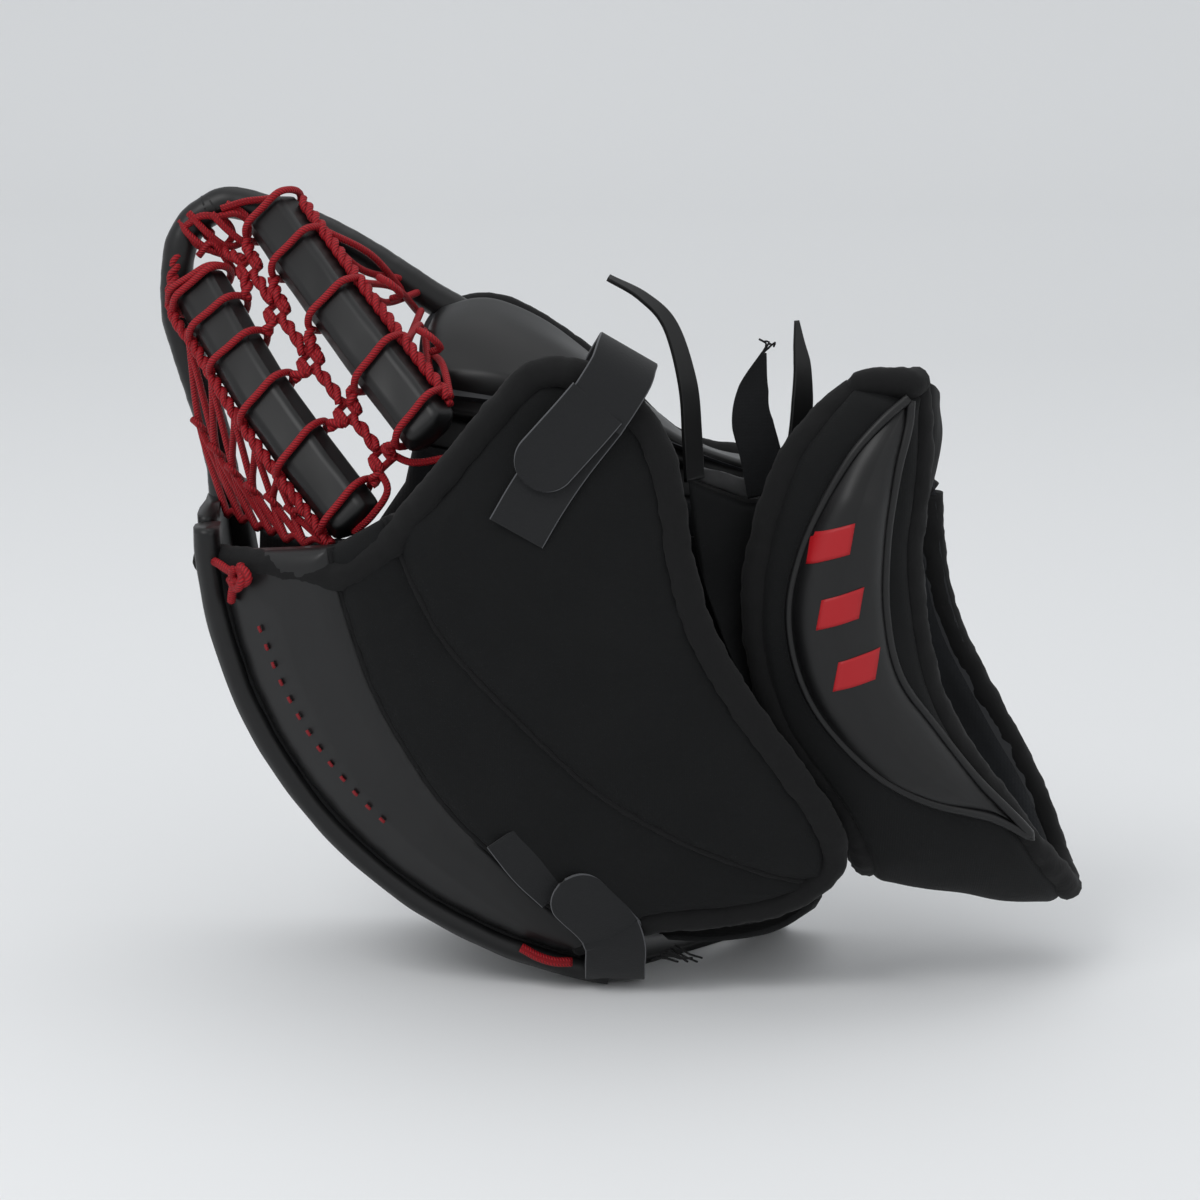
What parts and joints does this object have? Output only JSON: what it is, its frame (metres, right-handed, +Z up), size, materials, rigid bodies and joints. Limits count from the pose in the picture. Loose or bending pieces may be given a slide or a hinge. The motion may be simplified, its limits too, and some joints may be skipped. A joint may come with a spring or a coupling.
{
  "type": "goalie catch glove",
  "caption": "Ice hockey goalkeeper's left catching glove with a padded back, laced pocket, thumb flap and wrist cuff, standing on its little-finger edge.",
  "frame": {"origin": "middle of the bounding box in X and Y, on the floor plane the glove stands on", "axes": "+X from the fingertips to the cuff, +Y from the back of the hand to the catching face, +Z up from the little finger to the thumb"},
  "size_m": [0.3928, 0.1486, 0.3241],
  "materials": {
    "back_nylon": "woven ballistic nylon, dull",
    "shell_leather": "smooth coated leather, satin",
    "edge_binding": "rolled woven binding, matt",
    "foam_core": "closed-cell foam",
    "plastic_plate": "moulded polyethylene sheet",
    "lining_cloth": "brushed knit lining",
    "grey_leather": "worn pale leather",
    "webbing": "woven nylon webbing",
    "hook_tape": "hook tape",
    "loop_tab": "loop tape tab",
    "red_lace": "round knitted nylon lace",
    "red_print": "raised embroidered bars",
    "label_cloth": "woven satin label"
  },
  "bodies": {
    "hand": {"back_center_panel": "back_nylon", "back_middle_panel": "back_nylon", "finger_edge_strip": "shell_leather", "back_foam": "foam_core", "back_plate": "plastic_plate", "back_liner": "lining_cloth", "back_edge_binding": "edge_binding", "edge_welt": "shell_leather", "finger_side_wall": "shell_leather", "finger_rim_binding": "shell_leather", "finger_wall_foam": "foam_core", "little_finger_side": "back_nylon", "palm_leather": "shell_leather", "palm_foam": "foam_core", "palm_liner": "lining_cloth", "finger_stalls": "lining_cloth", "palm_strap": "webbing", "upper_hook_patch": "hook_tape", "upper_strap": "webbing", "lower_hook_patch": "hook_tape", "lower_strap": "webbing", "hoop_finger_side": "shell_leather", "finger_side_lacing": "red_lace", "fingertip_knot": "red_lace", "edge_lace_end": "red_lace", "wrist_gusset": "back_nylon", "opening_flap": "grey_leather", "strap_end_curved": "shell_leather", "strap_end_ribbon": "webbing", "strap_end_pointed": "shell_leather"},
    "pocket": {"hoop_thumb_side": "shell_leather", "bar_upper_cover": "shell_leather", "bar_upper_core": "foam_core", "bar_upper_wraps": "red_lace", "bar_lower_cover": "shell_leather", "bar_lower_core": "foam_core", "bar_lower_wraps": "red_lace", "pocket_chain": "red_lace"},
    "thumb": {"thumb_leather": "shell_leather", "thumb_foam": "foam_core", "thumb_plate": "plastic_plate", "thumb_cover": "shell_leather", "thumb_stall": "lining_cloth", "thumb_rim_binding": "shell_leather", "thumb_side_lacing": "red_lace"},
    "cuff": {"cuff_liner": "lining_cloth", "cuff_plate": "plastic_plate", "cuff_foam": "foam_core", "cuff_cover": "back_nylon", "cuff_pad": "shell_leather", "cuff_mark": "red_print", "cuff_hand_edge": "edge_binding", "cuff_arm_edge": "edge_binding", "cuff_label": "label_cloth"},
    "upper_tab": {"upper_strap_tab": "loop_tab"},
    "lower_tab": {"lower_strap_tab": "loop_tab"}
  },
  "joints": [
    {"name": "pocket_fold", "type": "hinge", "parent": "hand", "child": "pocket", "pos_m": [-0.01054, 0.00683, 0.2145], "axis": [-0.9798, 0, 0.2001], "range_deg": [-1.5, 6]},
    {"name": "thumb_close", "type": "hinge", "parent": "pocket", "child": "thumb", "pos_m": [-0.01054, 0.00683, 0.2145], "axis": [-0.9798, 0, 0.2001], "range_deg": [-1.5, 6]},
    {"name": "cuff_flex", "type": "hinge", "parent": "hand", "child": "cuff", "pos_m": [0.09646, 0.00083, 0.058], "axis": [0, 1, 0], "range_deg": [-1.5, 10]},
    {"name": "upper_tab_peel", "type": "hinge", "parent": "hand", "child": "upper_tab", "pos_m": [-0.00854, -0.07317, 0.256], "axis": [-0.9, 0, 0.436], "range_deg": [0, 90]},
    {"name": "lower_tab_peel", "type": "hinge", "parent": "hand", "child": "lower_tab", "pos_m": [-0.00154, -0.04467, 0.0245], "axis": [1, 0, 0], "range_deg": [0, 90]}
  ],
  "couplings": [
    {"joint": "thumb_close", "follows": "pocket_fold", "ratio": 1}
  ]
}
